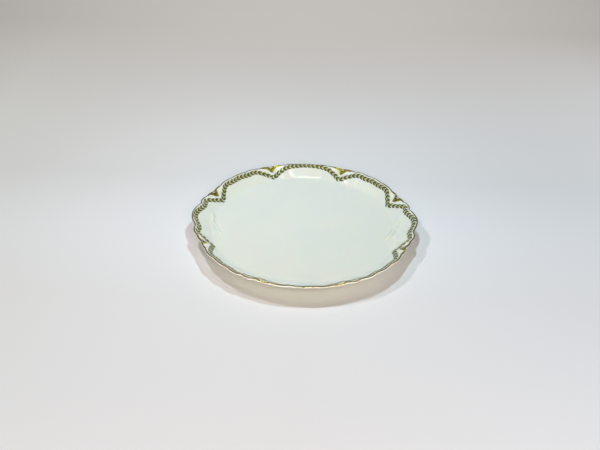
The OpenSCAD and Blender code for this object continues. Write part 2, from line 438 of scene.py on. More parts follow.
    def lifted(self, x: Array, y: Array, height: Array | float) -> Array:
        """Points that stand off the glaze by a height, measured square to it.

        Args:
            x: places along the long axis.
            y: places across it.
            height: the height of each point.

        Returns:
            Array (..., 3). The slope is the difference quotient over a small step.
        """
        step, z = self.slope_step, self.skin_z(x, y)
        slope_x = (self.skin_z(x + step, y) - self.skin_z(x - step, y)) / (2 * step)
        slope_y = (self.skin_z(x, y + step) - self.skin_z(x, y - step)) / (2 * step)
        length = np.sqrt(1.0 + slope_x**2 + slope_y**2)
        rise = height / length
        return np.stack([x - rise * slope_x, y - rise * slope_y, z + rise], axis=-1)

    def notches(self) -> Array:
        """Turns of the eight notches, anticlockwise from the long axis."""
        first, second = self.notch_turns
        quarter = np.array([first, second, 180.0 - second, 180.0 - first])
        return np.concatenate([quarter, quarter + 180.0])

    def stations(self, step: float) -> Array:
        """Turns round the whole edge, evenly spaced along each scallop so that every cusp is kept.

        Args:
            step: largest turn between two stations.

        Returns:
            Sorted turns from 0 to under 360.
        """
        stops = np.array([0.0, *self.cusp_turns, 90.0])
        counts = np.ceil(np.diff(stops) / step).astype(int)
        q = np.concatenate([np.linspace(a, b, n + 1) for a, b, n in zip(stops, stops[1:], counts)])
        return np.unique(np.round(np.concatenate([q, 180 - q, 180 + q, 360 - q]) % 360, 6))


# Finishes


class Graph:
    """Node tree, with short calls for the nodes that the finishes and the room share."""

    def __init__(self, tree: bpy.types.NodeTree) -> None:
        """Takes a tree and empties it."""
        self.tree = tree
        self.tree.nodes.clear()

    def put(self, socket: Socket, value: object) -> None:
        """Gives an input its value.

        Args:
            socket: the input.
            value: another node's output to link to it, or a plain number or colour.
        """
        if isinstance(value, Socket):
            self.tree.links.new(value, socket)
        elif isinstance(value, tuple) and len(value) == 3 and socket.type == "RGBA":
            socket.default_value = (*value, 1.0)
        else:
            socket.default_value = value

    def node(self, kind: str, inputs: dict[str | int, object], **settings: str) -> bpy.types.Node:
        """Adds a shader node.

        Args:
            kind: the node's type.
            inputs: values of its inputs, by their names or places.
            settings: its settings.

        Returns:
            The node.
        """
        node = self.tree.nodes.new(f"ShaderNode{kind}")
        for name, value in settings.items():
            setattr(node, name, value)
        for key, value in inputs.items():
            self.put(node.inputs[key], value)
        return node

    def axes(self, vector: Socket) -> list[Socket]:
        """X, Y and Z of a vector."""
        return list(self.node("SeparateXYZ", {0: vector}).outputs)

    def math(self, kind: str, a: object, b: object) -> Socket:
        """Result of a math node of a kind on two values."""
        return self.node("Math", {0: a, 1: b}, operation=kind).outputs[0]

    def times(self, a: object, b: object) -> Socket:
        """Product of two values."""
        return self.math("MULTIPLY", a, b)

    def plus(self, a: object, b: object) -> Socket:
        """Sum of two values."""
        return self.math("ADD", a, b)

    def minus(self, a: object, b: object) -> Socket:
        """What is left of a less b."""
        return self.math("SUBTRACT", a, b)

    def held(self, value: object, low: float, high: float) -> Socket:
        """Value held between two others."""
        return self.math("MINIMUM", self.math("MAXIMUM", value, low), high)

    def blend(self, share: object, a: object, b: object) -> Socket:
        """Colour a share of the way from a to b."""
        return self.node("Mix", {0: share, 6: a, 7: b}, data_type="RGBA").outputs[2]

    def scaled(self, color: Color, share: object) -> Socket:
        """Colour times a number."""
        return self.node("VectorMath", {0: color, "Scale": share}, operation="SCALE").outputs[0]

    def added(self, a: object, b: object) -> Socket:
        """Sum of two colours."""
        return self.node("VectorMath", {0: a, 1: b}, operation="ADD").outputs[0]

    def seen(self) -> Socket:
        """1 on rays that show a surface to the viewer, straight or mirrored, 0 on those that light."""
        rays = self.node("LightPath", {}).outputs
        mirrored = self.math("MAXIMUM", rays["Is Glossy Ray"], rays["Is Transmission Ray"])
        return self.math("MAXIMUM", rays["Is Camera Ray"], mirrored)


class Shader(Graph):
    """Node tree of one finish."""

    def __init__(self, name: str) -> None:
        """Makes a material that holds one surface shader and its output."""
        self.material = bpy.data.materials.new(name)
        self.material.use_nodes = True
        super().__init__(self.material.node_tree)
        self.surface = self.node("BsdfPrincipled", {})
        self.node("OutputMaterial", {"Surface": self.surface.outputs["BSDF"]})

    def set(self, **values: object) -> None:
        """Sets inputs of the surface shader, named with underscores for spaces."""
        for name, value in values.items():
            self.put(self.surface.inputs[name.replace("_", " ")], value)

    def place(self) -> Socket:
        """Object coordinates, in metres."""
        return self.node("TexCoord", {}).outputs["Object"]

    def value(self, name: str) -> Socket:
        """Number stored on the piece under an attribute's name."""
        return self.node("Attribute", {}, attribute_name=name).outputs["Fac"]

    def noise(self, scale: float, detail: float = 2.0, roughness: float = 0.5) -> Socket:
        """Soft noise on the object coordinates, scale features to a metre, about 0.5 on average."""
        inputs = {"Vector": self.place(), "Scale": scale, "Detail": detail, "Roughness": roughness}
        return self.node("TexNoise", inputs).outputs["Fac"]

    def spread(self, value: object, low: float, high: float, start: float = 0.0, stop: float = 1.0) -> Socket:
        """Maps a value from low and high to start and stop along an S-curve, held at both ends."""
        inputs = dict(enumerate((value, low, high, start, stop)))
        return self.node("MapRange", inputs, interpolation_type="SMOOTHSTEP").outputs[0]

    def bump(self, height: object, depth: float, strength: float) -> Socket:
        """Normal bent by a share of a height map, in which 1 stands for the depth in metres."""
        inputs = {"Height": height, "Distance": depth, "Strength": strength}
        return self.node("Bump", inputs).outputs["Normal"]


@dataclass(frozen=True)
class Porcelain:
    """White porcelain under a clear glaze, warm where the glaze is thin and bare under the foot ring."""

    glaze: Color = (0.72, 0.764, 0.70)
    pooled_glaze: Color = (0.70, 0.755, 0.695)
    thin_glaze: Color = (0.98, 0.93, 0.80)
    bare_clay: Color = (0.72, 0.66, 0.56)
    clay_shade: float = 0.86
    clay_roughness: float = 0.8
    gloss: float = 0.09
    gloss_range: float = 0.05
    glow_share: float = 0.6
    glow_reach: float = 0.005
    glow_tint: Color = (1.0, 0.65, 0.45)
    bare_height: float = 0.00035
    bare_blur: float = 0.0002
    line_wander: float = 0.0004
    peel_depth: float = 0.00002
    drift_scale: float = 22.0
    line_scale: float = 160.0
    grain_scale: float = 2600.0
    gloss_scale: float = 90.0
    peel_scale: float = 240.0

    def material(self) -> Material:
        """Glaze with a faint tint and roughness that drift, and bare clay below the foot's glaze line."""
        shade = Shader("porcelain_glaze")
        drift = shade.spread(shade.noise(self.drift_scale, 3.0), 0.35, 0.7)
        body = shade.blend(drift, self.glaze, self.pooled_glaze)
        body = shade.blend(shade.value("thin_glaze"), body, self.thin_glaze)
        height = shade.axes(shade.place())[2]
        line = shade.minus(height, shade.times(shade.noise(self.line_scale), self.line_wander))
        bare = shade.spread(line, self.bare_height + self.bare_blur, self.bare_height)
        grain = shade.noise(self.grain_scale, 3.0, 0.6)
        clay = shade.blend(grain, self.bare_clay, tuple(self.clay_shade * c for c in self.bare_clay))
        shade.set(Base_Color=shade.blend(bare, body, clay), IOR=1.5)
        shade.set(Subsurface_Weight=self.glow_share, Subsurface_Scale=self.glow_reach)
        shade.set(Subsurface_Radius=self.glow_tint)
        gloss = shade.noise(self.gloss_scale)
        gloss = shade.spread(gloss, 0.3, 0.75, self.gloss, self.gloss + self.gloss_range)
        shade.set(Roughness=shade.math("MAXIMUM", gloss, shade.times(bare, self.clay_roughness)))
        peel = shade.plus(shade.noise(self.peel_scale, 1.0), shade.times(shade.times(bare, grain), 2.0))
        shade.set(Normal=shade.bump(peel, self.peel_depth, 0.6))
        return shade.material


@dataclass(frozen=True)
class FiredGold:
    """Gold fired on the glaze: burnish and painted glints lighten it in places, wear and painted shade brown
    it in others.
    """

    name: str
    bright: Color
    deep: Color
    ground_and_shade: Color
    roughness: float
    wear: float
    metal: float
    stroke_scale: float = 420.0
    wear_scale: float = 900.0
    rough_scale: float = 650.0
    dent_scale: float = 1500.0
    dent_depth: float = 0.00003

    def material(self) -> Material:
        """Lustre whose colour goes from deep to bright with brush marks and painted glints, and brown with
        wear and painted shade.
        """
        shade = Shader(self.name)
        stroke = shade.spread(shade.noise(self.stroke_scale, 4.0, 0.65), 0.32, 0.7)
        # Painted glints: a stored value lifts the gold towards its bright colour where highlights fall.
        lustre_and_glint = shade.blend(shade.times(stroke, shade.value("burnish")), self.deep, self.bright)
        wear_and_painted_shade = shade.spread(shade.noise(self.wear_scale, 3.0, 0.6), 1.05 - self.wear, 1.25 - self.wear)
        # Painted shade: the stored shade browns the gold as wear does, and takes away its metal.
        wear_and_painted_shade = shade.math("MAXIMUM", wear_and_painted_shade, shade.value("shade"))
        rough = shade.noise(self.rough_scale, 3.0)
        shade.set(
            Base_Color=shade.blend(wear_and_painted_shade, lustre_and_glint, self.ground_and_shade),
            Metallic=shade.spread(wear_and_painted_shade, 0.2, 1.0, self.metal, 0.5 * self.metal),
            Roughness=shade.spread(rough, 0.3, 0.75, self.roughness - 0.08, self.roughness + 0.14),
            Normal=shade.bump(shade.noise(self.dent_scale), self.dent_depth, 0.5),
        )
        return shade.material


@dataclass(frozen=True)
class LeafEnamel:
    """Printed green enamel of the leaves: dark along one half, lighter along the other, pale on the rib."""

    dark: Color = (0.038, 0.048, 0.001)
    light: Color = (0.34, 0.33, 0.010)
    rib: Color = (0.26, 0.27, 0.01)
    roughness: float = 0.34
    shine: float = 0.25
    grain_scale: float = 3200.0
    rough_scale: float = 800.0
    relief_depth: float = 0.00003

    def material(self) -> Material:
        """Colour from the place along and across the leaf, its own tone and a fine print grain."""
        shade = Shader("leaf_enamel")
        along, across = shade.value("along"), shade.value("across")
        half, tip = shade.spread(across, 0.15, 1.0), shade.spread(along, 0.5, 0.95, 0.0, 0.7)
        tone = shade.plus(shade.times(shade.value("tone"), 0.6), 0.5)
        body = shade.blend(shade.times(shade.plus(half, tip), tone), self.dark, self.light)
        rib = shade.spread(shade.times(across, across), 0.03, 0.0)
        rib = shade.times(rib, shade.spread(along, 0.95, 0.5, 0.0, 0.85))
        grain = shade.spread(shade.noise(self.grain_scale), 0.3, 0.8, 0.0, 0.3)
        rough = shade.noise(self.rough_scale)
        shade.set(
            Base_Color=shade.blend(grain, shade.blend(rib, body, self.rib), self.dark),
            IOR=1.5,
            Specular_IOR_Level=self.shine,
            Roughness=shade.spread(rough, 0.3, 0.7, self.roughness - 0.05, self.roughness + 0.08),
            Normal=shade.bump(shade.plus(rib, grain), self.relief_depth, 0.6),
        )
        return shade.material


@dataclass(frozen=True)
class StemEnamel:
    """Pale green line of the stem, thinner and paler in places."""

    green: Color = (0.11, 0.13, 0.004)
    pale: Color = (0.34, 0.35, 0.03)
    roughness: float = 0.28
    shine: float = 0.25
    drift_scale: float = 520.0
    rough_scale: float = 900.0

    def material(self) -> Material:
        """Green that drifts to pale along the stem."""
        shade = Shader("stem_enamel")
        drift, rough = shade.noise(self.drift_scale, 3.0), shade.noise(self.rough_scale)
        shade.set(
            Base_Color=shade.blend(shade.spread(drift, 0.35, 0.68), self.green, self.pale),
            IOR=1.5,
            Specular_IOR_Level=self.shine,
            Roughness=shade.spread(rough, 0.3, 0.7, self.roughness - 0.05, self.roughness + 0.1),
        )
        return shade.material


EDGE_GOLD = FiredGold(
    "edge_gold",
    bright=(0.21, 0.20, 0.02),
    deep=(0.045, 0.042, 0.004),
    ground_and_shade=(0.028, 0.025, 0.004),
    roughness=0.42,
    wear=0.5,
    metal=0.3,
)
NOTCH_GOLD = FiredGold(
    "notch_gold",
    bright=(1.0, 0.88, 0.035),
    deep=(0.17, 0.16, 0.002),
    ground_and_shade=(0.08, 0.05, 0.004),
    roughness=0.32,
    wear=0.34,
    metal=0.5,
)


# Pieces


@dataclass
class GlazedBody:
    """The porcelain: floor, flared side, lip, underside and foot ring in one closed surface."""

    form: PlateForm
    finish: Porcelain = field(default_factory=Porcelain)
    step: float = 0.5
    cream_share: float = 0.42
    cream_inset: float = 1.5
    cream_reach: float = 6.5
    cream_top: tuple[float, float] = (75.0, 35.0)
    cream_foot: tuple[float, float] = (-62.0, -30.0)
    floor_rings: tuple[float, ...] = (4.0, 14.0, 28.0, 42.0, 54.0, 63.0, 69.0, 73.0)
    close_rings_from: float = 75.5
    close_ring_step: float = 0.65
    under_rings: tuple[float, ...] = (40.0, 18.0, 5.0)
    foot_margin: float = 4.0
    foot_round: float = 0.8
    round_points: int = 5
    flare_rows: int = 44
    lip_rows: int = 14
    under_rows: int = 9

    def upper_rows(self, turns: Array) -> Array:
        """Glazed upper side, from near the axis to the start of the lip.

        Args:
            turns: turns of the columns.

        Returns:
            Array (rows, columns, 3): rings at chosen distances, at the glaze's height with the relief.
        """
        close_rings = np.arange(self.close_rings_from, self.form.floor_r, self.close_ring_step)
        inner = np.repeat(np.concatenate([self.floor_rings, close_rings])[:, None], len(turns), axis=1)
        share = np.linspace(0.0, 1.0, self.flare_rows)[:, None]
        outer = between(self.form.floor_r, self.form.reach(turns) - self.form.lip_inset, share)
        r = np.vstack([inner, outer])
        x, y = polar(r, turns)
        z = self.form.glaze_z(r, turns) + self.form.relief(x, y)
        return np.stack([x, y, z], axis=-1)

    def lip_ring(self, turns: Array) -> tuple[Array, Array]:
        """Half-round lip: a circle's points about the lip's centre, from the flare over the edge to below.

        Args:
            turns: turns of the columns.

        Returns:
            Array (rows, columns, 3), and the angle of each row in degrees.
        """
        lean = self.form.flare_turn
        angles = np.linspace(90.0 + lean, -90.0 + lean, self.lip_rows + 2)[1:-1]
        r0, z0 = self.form.lip_centre(turns)
        out, rise = polar(self.form.lip_r, angles[:, None])
        return np.stack([*polar(r0 + out, turns), z0 + rise], axis=-1), angles

    def foot_profile(self) -> Array:
        """Section of the flat under the floor and of the foot ring, rounded at its root and its tread.

        Returns:
            Array (n, 2) of distances from the axis and heights, inwards. The ring's inner half mirrors
            its outer one.
        """
        outer = self.form.floor_r - self.form.foot_inset
        inner, top, soft = outer - self.form.foot_width, self.form.foot_height, self.foot_round
        across, up = polar(soft, np.linspace(0.0, 90.0, self.round_points))
        root = np.stack([outer + soft - up, top - soft + across], axis=1)
        tread = np.stack([outer - soft + across, soft - up], axis=1)
        inner_half = [outer + inner, 0.0] + np.vstack([root, tread])[::-1] * [-1.0, 1.0]
        flat = [(self.form.floor_r - self.foot_margin, top), (outer + self.foot_margin, top)]
        centre = [(inner - 1.5 * self.foot_margin, top), *((r, top) for r in self.under_rings)]
        return np.vstack([flat, root, tread, inner_half, centre])

    def lower_rows(self, turns: Array) -> Array:
        """Underside: the flare's lower face, the flat under the floor and the rounded foot ring.

        Args:
            turns: turns of the columns.

        Returns:
            Array (rows, columns, 3), from the lip inwards to near the axis. The wall grows from the lip's
            thickness to the floor's as a straight blend.
        """
        form = self.form
        share = np.linspace(0.9, 0.0, self.under_rows)[:, None]
        r = between(form.floor_r, form.reach(turns) - form.lip_r, share)
        lip_drop = form.lip_wall / math.cos(math.radians(form.flare_turn))
        z = form.glaze_z(r, turns) - between(form.floor_wall, lip_drop, share)
        foot_r, foot_z = (np.tile(line[:, None], len(turns)) for line in self.foot_profile().T)
        return np.stack([*polar(np.vstack([r, foot_r]), turns), np.vstack([z, foot_z])], axis=-1)

    def build(self) -> Object:
        """Joins the rings into one closed surface with a pole on each side and dresses it.

        Returns:
            The body, with the share of thin glaze at each point.
        """
        turns = self.form.stations(self.step)
        upper, (lip, angles), lower = self.upper_rows(turns), self.lip_ring(turns), self.lower_rows(turns)
        skin = np.concatenate([upper, lip, lower])
        rows, columns = skin.shape[:2]
        count = rows * columns
        poles = [[0.0, 0.0, self.form.floor_z], [0.0, 0.0, self.form.foot_height]]
        first = np.arange(columns)
        faces = [
            grid_faces(rows, columns, ring_columns=True),
            fan_faces(count, first, True),
            fan_faces(count + 1, count - columns + first, False),
        ]
        points = np.vstack([skin.reshape(-1, 3), poles])
        piece = new_piece("glazed_body", points, faces, self.finish.material())
        thin = np.zeros((rows, columns))
        start = len(upper)
        cream = eased(*self.cream_top, angles) * eased(*self.cream_foot, angles)
        thin[start:start + len(lip)] = cream[:, None]
        inset = self.form.reach(turns) - np.hypot(upper[..., 0], upper[..., 1])
        thin[:start] = self.cream_share * eased(self.cream_reach, self.cream_inset, inset)
        thin *= 0.85 + 0.15 * ripple(turns, (7, 13, 29), SEED)
        write_values(piece, thin_glaze=np.append(thin.ravel(), [0.0, 0.0]))
        return piece


@dataclass
class GoldEdgeLine:
    """Gold line brushed over the crest of the lip, wider over the horns beside the notches."""

    form: PlateForm
    finish: FiredGold = EDGE_GOLD
    step: float = 0.4
    film: float = 0.05
    rows: int = 9
    outer_inset: float = 0.06
    outer_waver: float = 0.05
    inner_inset: float = 1.5
    inner_waver: float = 0.16
    near_shift: float = 0.14
    horn_turns: tuple[float, ...] = (21.2, 29.4, 64.2, 72.2)
    horn_half: float = 3.0
    horn_reach: float = 0.7

    def build(self) -> Object:
        """Lays a closed strip along the edge.

        Returns:
            The line: an upper skin domed by the square root of a half sine, and a lower one in the glaze.
        """
        turns = self.form.stations(self.step)
        q = self.form.folded(turns)
        horn = np.max([bell((q - h) / self.horn_half) for h in self.horn_turns], axis=0)
        near = np.clip(-np.sin(np.radians(turns)), 0.0, 1.0)
        outer = self.outer_inset + self.near_shift * near
        outer = outer + self.outer_waver * ripple(turns, (9, 23, 61), SEED + 2)
        inner = self.inner_inset + self.horn_reach * horn
        inner = inner + self.inner_waver * ripple(turns, (11, 31, 57), SEED + 1)
        share = np.linspace(1.0, 0.0, self.rows)[:, None]
        x, y = polar(self.form.reach(turns) - between(outer, inner, share), turns)
        top = self.form.lifted(x, y, self.film * (np.sin(np.pi * share) ** 0.5 - 0.3))
        low = self.form.lifted(x, y, -self.film)[::-1]
        points, rows = np.concatenate([top, low]).reshape(-1, 3), 2 * self.rows
        faces = [grid_faces(rows, len(turns), True, True)]
        piece = new_piece("gold_edge_line", points, faces, self.finish.material())
        # Lighter at random along the line, and lighter still over the horns as a painted glint.
        burnish = np.tile(0.5 + 0.5 * ripple(turns, (5, 17, 43), SEED + 3) + 0.6 * horn, rows)
        write_values(piece, burnish=np.clip(burnish, 0.0, 1.3), shade=np.zeros(len(points)))
        return piece


@dataclass
class NotchGilding:
    """Gold band that bends down the flare at each notch and runs out over the horns on both sides."""

    form: PlateForm
    finish: FiredGold = NOTCH_GOLD
    half_turn: float = 7.0
    taper_turn: float = 2.2
    outer_inset: float = 0.1
    arm_width: float = 2.6
    outer_arm_width: float = 1.8
    end_width: float = 1.2
    horn_turn: float = 4.0
    horn_half: float = 1.7
    dip_reach: float = 2.1
    dip_turn: float = 1.7
    tongue_reach: float = 6.5
    tongue_turn: float = 2.3
    tongue_bluntness: float = 2.4
    tip_shift: float = 0.7
    film: float = 0.17
    crown: float = 0.1
    depth: float = 0.06
    columns: int = 97
    rows: int = 15

    def build(self, number: int, turn: float, material: Material) -> Object:
        """Makes the gold of one notch.

        The band's outer border dips by a bell e^-(turn / dip turn)^2 of the turn from the tip, and its
        inner border by a wider one. Over the horns the band swells by a bell, and its ends taper to the
        edge line. The notches nearest the long axis have narrower, darker bands that lean towards it.
        Painted reflection brightens the arm away from the long axis, and painted shade darkens the cusp
        and the ends of the arms.

        Args:
            number: number of the notch, from 1.
            turn: turn of the notch.
            material: the gold.

        Returns:
            The gilding.
        """
        by_end = abs(float(self.form.folded(np.array(turn))) - self.form.notch_turns[0]) < 1.0
        to_axis = -1.0 if (turn % 180.0) < 90.0 else 1.0
        x = self.half_turn * np.linspace(-1.0, 1.0, self.columns)[None, :]
        v = np.linspace(0.0, 1.0, self.rows)[:, None]
        off = x - (self.tip_shift * to_axis if by_end else 0.0)
        away = np.abs(off)
        taper = eased(self.half_turn, self.half_turn - self.taper_turn, np.abs(x))
        outer = self.outer_inset + self.dip_reach * np.exp(-((away / self.dip_turn) ** 2.0))
        horn = np.exp(-(((away - self.horn_turn) / self.horn_half) ** 2))
        tongue = np.exp(-((away / self.tongue_turn) ** self.tongue_bluntness))
        arm = self.outer_arm_width if by_end else self.arm_width
        inner = self.end_width + taper * (arm - self.end_width) * (0.45 + 0.55 * horn)
        inner = between(inner, self.tongue_reach, tongue)
        turns = turn + x
        px, py = polar(self.form.reach(turns) - between(outer, inner, v), turns)
        dome = np.sin(np.pi * v) ** 0.5 * np.sqrt(taper)
        top = self.form.lifted(px, py, (self.film + self.crown * tongue) * dome - self.depth / 2)
        piece = new_film(f"gold_notch_{number}", top, self.form.lifted(px, py, -self.depth), material)
        # Painted reflection: the arm away from the long axis is made bright as if it caught the light, and
        # the band lightens towards the tongue's tip.
        painted_bright_arm = eased(-1.0, 3.0, -off * to_axis) * eased(6.5, 4.0, away)
        burnish = np.clip(0.15 + 1.1 * painted_bright_arm + 0.3 * v * tongue, 0.0, 1.4) * (0.5 if by_end else 1.0)
        # Painted shade darkens the cusp and the arms' ends, less so on the bright arm; the bands nearest the
        # long axis are also darker all over.
        middle = np.exp(-(((v - 0.1) / 0.25) ** 2)) * np.exp(-((off / 1.6) ** 2))
        ends = eased(3.5, 6.5, away) * (1.0 - 0.6 * painted_bright_arm)
        shade = np.clip(0.95 * middle + 0.75 * ends + (0.35 if by_end else 0.0), 0.0, 1.0)
        burnish, shade = (np.tile(values[::-1].ravel(), 2) for values in (burnish, shade))
        write_values(piece, burnish=burnish, shade=shade)
        return piece


@dataclass
class Garland:
    """Laurel garland inside the edge: a stem with a row of leaves on each side, all pointing clockwise."""

    form: PlateForm
    leaf_finish: LeafEnamel = field(default_factory=LeafEnamel)
    stem_finish: StemEnamel = field(default_factory=StemEnamel)
    inset: float = 4.25
    side_shift: float = 2.1
    side_turns: tuple[float, float] = (76.0, 86.0)
    end_shift: float = 0.6
    end_turns: tuple[float, float] = (13.0, 5.0)
    dip: float = 6.6
    dip_turn: float = 9.5
    lobe_samples: int = 241
    heading_step: float = 0.15
    pitch: float = 4.5
    leaf_length: float = 5.4
    leaf_width: float = 2.1
    leaf_corners: int = 6
    leaf_stations: tuple[float, ...] = (0.0, 0.07, 0.27, 0.5, 0.74, 0.92, 1.0)
    slant: float = 17.0
    stem_gap: float = 0.08
    leaf_crown: float = 0.13
    leaf_depth: float = 0.035
    stem_width: float = 0.8
    stem_crown: float = 0.08
    stem_depth: float = 0.06
    stem_end: float = 0.1
    stem_rows: int = 5
    stem_columns: int = 150

    def plan(self, turn: Array) -> Array:
        """Path of the stem seen from above: the smoothed edge, less an inset that dips at each notch.

        Args:
            turn: turns in degrees.

        Returns:
            Array (..., 2).
        """
        q = self.form.folded(turn)
        dip = sum(bell((q - n) / self.dip_turn) for n in self.form.notch_turns)
        side = self.side_shift * eased(*self.side_turns, q) + self.end_shift * eased(*self.end_turns, q)
        r = self.form.reach(turn, 0.0) - self.inset - self.dip * dip + side
        return np.stack(polar(r, turn), axis=-1)

    def lobe(self, number: int) -> tuple[Array, Array]:
        """Table of one lobe's stretch of the garland.

        Args:
            number: number of the lobe, from 1 at the right end, anticlockwise.

        Returns:
            Lengths along the stem, clockwise, and the turn at each.
        """
        notches = self.form.notches()
        stop = notches[number - 2] - (360.0 if number == 1 else 0.0)
        turns = np.linspace(notches[number - 1], stop, self.lobe_samples)
        gaps = np.linalg.norm(np.diff(self.plan(turns), axis=0), axis=1)
        return np.concatenate([[0.0], np.cumsum(gaps)]), turns

    def beside(self, table: tuple[Array, Array], length: Array, side: Array) -> tuple[Array, Array]:
        """Places at given lengths along the stem and given distances to its outer side.

        Args:
            table: lengths and turns of the lobe.
            length: lengths along the stem.
            side: distances from the stem, positive on the left going clockwise, which is the outer side.

        Returns:
            X and Y of the places. Past the lobe's ends they run on straight.
        """
        lengths, turns = table
        turn = np.interp(length, lengths, turns)
        over = length - np.clip(length, lengths[0], lengths[-1])
        ahead = self.plan(turn - self.heading_step) - self.plan(turn + self.heading_step)
        ahead = ahead / np.linalg.norm(ahead, axis=-1, keepdims=True)
        here = self.plan(turn) + ahead * over[..., None]
        return here[..., 0] - ahead[..., 1] * side, here[..., 1] + ahead[..., 0] * side

    def stem(self, number: int, material: Material) -> Object:
        """Makes one lobe's stem: a low dome carried along the path, closed at both ends.

        Args:
            number: number of the lobe.
            material: the enamel.

        Returns:
            The stem.
        """
        table = self.lobe(number)
        length = np.linspace(self.stem_end, table[0][-1] - self.stem_end, self.stem_columns)
        share = np.linspace(-1.0, 1.0, self.stem_rows)[:, None]
        half = self.stem_width / 2 * (1.0 + 0.18 * np.sin(length * 1.9 + number))
        x, y = self.beside(table, length, share * half)
        top = self.form.lifted(x, y, self.stem_crown * (1.0 - share**2) - self.stem_depth / 3)
        return new_film(f"stem_{number}", top, self.form.lifted(x, y, -self.stem_depth), material)

    def leaf_faces(self, row: Row) -> list[Array]:
        """Faces of one leaf, whose rings are numbered first and whose two ends last.

        Args:
            row: the row that the leaf stands in. The outer row's faces are turned round.

        Returns:
            Quads and triangles.
        """
        rings, corners = len(self.leaf_stations) - 2, self.leaf_corners
        first, count = np.arange(corners), rings * corners
        tips = [fan_faces(count, first, True), fan_faces(count + 1, count - corners + first, False)]
        faces = [grid_faces(rings, corners, ring_columns=True), np.concatenate(tips)]
        return faces if row is Row.INNER else [group[:, ::-1] for group in faces]

    def leaf_shells(
        self, table: tuple[Array, Array], row: Row, seed: int
    ) -> tuple[Array, list[Array], dict[str, Array]]:
        """All the leaves of one row in one lobe.

        A leaf is a ring of points carried along a midrib that leaves the stem at a slant and bends back
        a little. Its half width is a half sine of a power of the way along, and its crown the same.

        Args:
            table: lengths and turns of the lobe.
            row: the row that the leaves stand in.
            seed: seed of the small differences between leaves.

        Returns:
            Points, faces, and the values that the finish reads.
        """
        total = table[0][-1]
        pairs = round(total / self.pitch)
        dice = np.random.default_rng(seed)
        start = (np.arange(pairs) + 0.04 + dice.uniform(-0.03, 0.03, pairs)) * (total / pairs)
        size = self.leaf_length * dice.uniform(0.95, 1.04, pairs)
        lean = np.tan(np.radians(self.slant + dice.uniform(-2.5, 2.5, pairs)))
        u = np.array(self.leaf_stations)
        way = np.outer(size, u)
        mid = self.stem_width / 2 + self.stem_gap + way * lean[:, None] * (1.12 - 0.28 * u)
        swell = (np.sin(np.pi * u**0.78) ** 1.05)[1:-1, None]
        across, up = polar(1.0, np.arange(self.leaf_corners) * 360.0 / self.leaf_corners)
        half = self.leaf_width / 2 * swell * across * dice.uniform(0.93, 1.06, (pairs, 1, 1))
        along = (start[:, None] + way)[:, 1:-1, None]
        x, y = self.beside(table, along, row.value * (mid[:, 1:-1, None] + half))
        height = np.where(up > 0.1, self.leaf_crown * up, -self.leaf_depth) * swell
        body = self.form.lifted(x, y, height).reshape(pairs, -1, 3)
        ends = (self.beside(table, start + way[:, k], row.value * mid[:, k]) for k in (0, -1))
        points = np.concatenate([body, *(self.form.lifted(*end, -0.02)[:, None] for end in ends)], axis=1)
        per_leaf = points.shape[1]
        shift = (np.arange(pairs) * per_leaf)[:, None, None]
        faces = [(group + shift).reshape(-1, group.shape[1]) for group in self.leaf_faces(row)]
        station = np.append(np.repeat(u[1:-1], self.leaf_corners), [0.0, 1.0])
        side = np.append(np.tile(across * np.where(up < -0.1, 0.8, 1.0), len(u) - 2), [0.0, 0.0])
        bias = 0.1 if row is Row.OUTER else -0.12
        tone = np.clip(0.5 + bias + dice.uniform(-0.22, 0.22, pairs), 0.0, 1.0)
        values = {"along": np.tile(station, pairs), "across": np.tile(side, pairs)}
        return points.reshape(-1, 3), faces, values | {"tone": np.repeat(tone, per_leaf)}

    def leaves(self, number: int, material: Material) -> Object:
        """Makes one lobe's leaves, both rows in one piece.

        Args:
            number: number of the lobe.
            material: the enamel.

        Returns:
            The leaves.
        """
        table = self.lobe(number)
        outer, inner = (self.leaf_shells(table, row, SEED + 10 * number + k) for k, row in enumerate(Row))
        faces = outer[1] + [group + len(outer[0]) for group in inner[1]]
        piece = new_piece(f"leaves_{number}", np.vstack([outer[0], inner[0]]), faces, material)
        values = {name: np.concatenate([outer[2][name], inner[2][name]]) for name in outer[2]}
        write_values(piece, **values)
        return piece


# Studio


@dataclass(frozen=True)
class Lamp:
    """A plain lamp: its place, length and width in metres, and its share of the table's full light.

    Only a glint lamp is seen in the glaze and the gold, and the others are screened from reflections. The
    spread is the full angle, in degrees, that its light keeps to.
    """

    name: str
    place: tuple[float, float, float]
    length: float
    width: float
    share: float
    color: Color = (1.0, 1.0, 1.0)
    glint: bool = False
    spread: float = 180.0


@dataclass(frozen=True)
class Viewpoint:
    """Where the photograph was taken from, in millimetres and degrees.

    The plate's long axis is turned a little to the picture, and the plate lies off the picture's centre.
    """

    focal_pixels: float = 700.0
    picture_width: float = 600.0
    elevation: float = 34.207
    roll: float = -1.286
    plate_turn: float = -0.977
    distance: float = 669.0
    right_of_centre: float = 4.22
    above_centre: float = 8.2
    rim_height: float = 18.0
    sensor_width: float = 36.0

    def build(self) -> Object:
        """Makes the camera and gives it to the scene."""
        e, roll = math.radians(self.elevation), math.radians(self.roll)
        right, up = Vector((1.0, 0.0, 0.0)), Vector((0.0, math.sin(e), math.cos(e)))
        ahead = Vector((0.0, math.cos(e), -math.sin(e)))
        place = -self.right_of_centre * right - self.above_centre * up - self.distance * ahead
        side = math.cos(roll) * right - math.sin(roll) * up
        top = math.sin(roll) * right + math.cos(roll) * up
        turned = Matrix.Rotation(math.radians(-self.plate_turn), 4, "Z")
        pose = Matrix((side, top, -ahead)).transposed().to_4x4()
        pose.translation = place * MM
        pose = Matrix.Translation((0.0, 0.0, self.rim_height * MM)) @ turned @ pose
        data = bpy.data.cameras.new("camera")
        data.sensor_width = self.sensor_width
        data.lens = self.sensor_width * self.focal_pixels / self.picture_width
        data.clip_start, data.clip_end = 0.01, 50.0
        camera = bpy.data.objects.new("camera", data)
        camera.matrix_world = pose
        bpy.context.scene.collection.objects.link(camera)
        bpy.context.scene.camera = camera
        return camera


